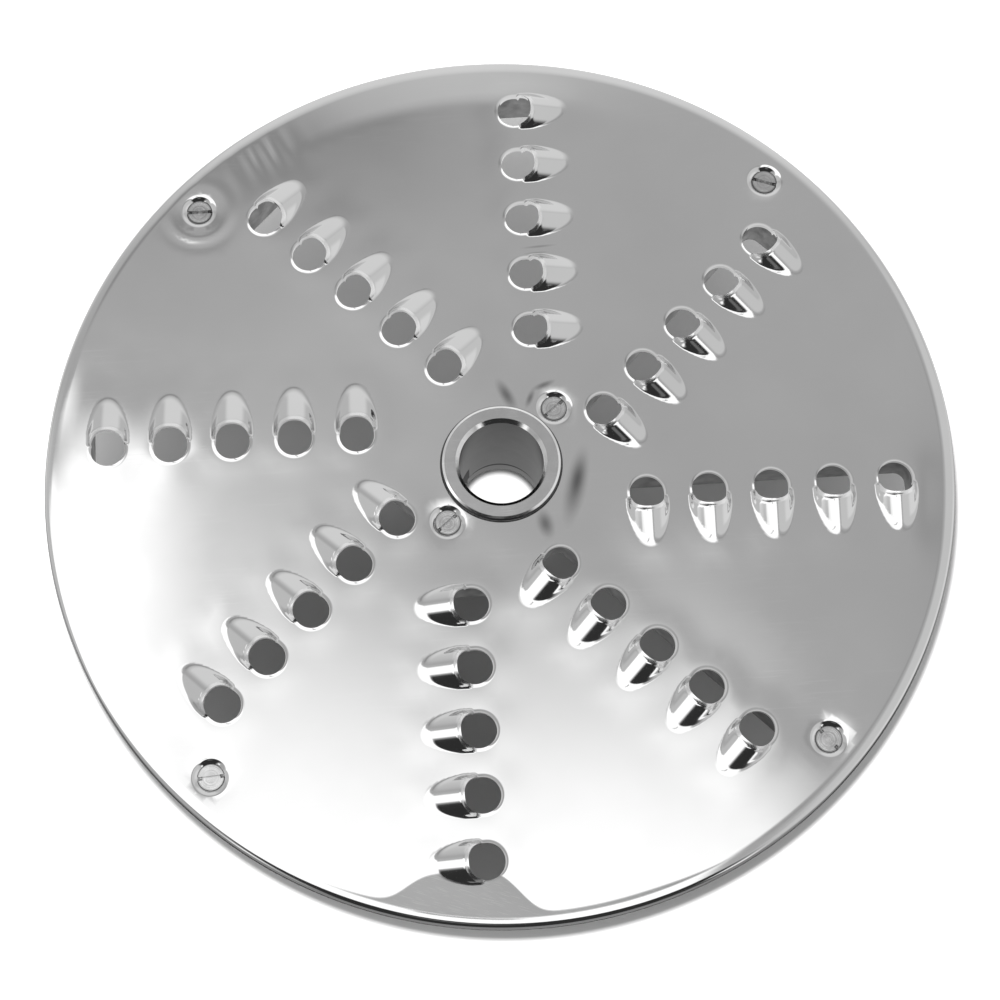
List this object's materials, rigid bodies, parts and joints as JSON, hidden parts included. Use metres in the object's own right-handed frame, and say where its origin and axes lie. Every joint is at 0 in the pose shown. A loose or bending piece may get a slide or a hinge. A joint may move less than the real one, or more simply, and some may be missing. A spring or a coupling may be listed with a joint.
{
  "type": "food processor shredding disc",
  "caption": "Round food processor disc with rows of raised scoop teeth in a polished steel plate, screwed to a cast spider on a bored hub with a drive slot.",
  "frame": {"origin": "on the hub's axis at the hub's lower end, where the disc stands", "axes": "+Z along the hub's axis, up through the toothed side; +X along one row of teeth"},
  "size_m": [0.205, 0.205, 0.036],
  "materials": {
    "polished_steel": "bright polished stainless steel",
    "cast_aluminium": "fine blasted casting, satin grey",
    "turned_steel": "fine turned stainless steel, bright chamfers and a dull bore",
    "screw_steel": "turned stainless steel with fine rings on the head"
  },
  "bodies": {
    "root": {"shredding_plate": "polished_steel", "spider": "cast_aluminium", "drive_hub": "turned_steel", "rim_screws": "screw_steel", "hub_screws": "screw_steel"}
  },
  "joints": []
}
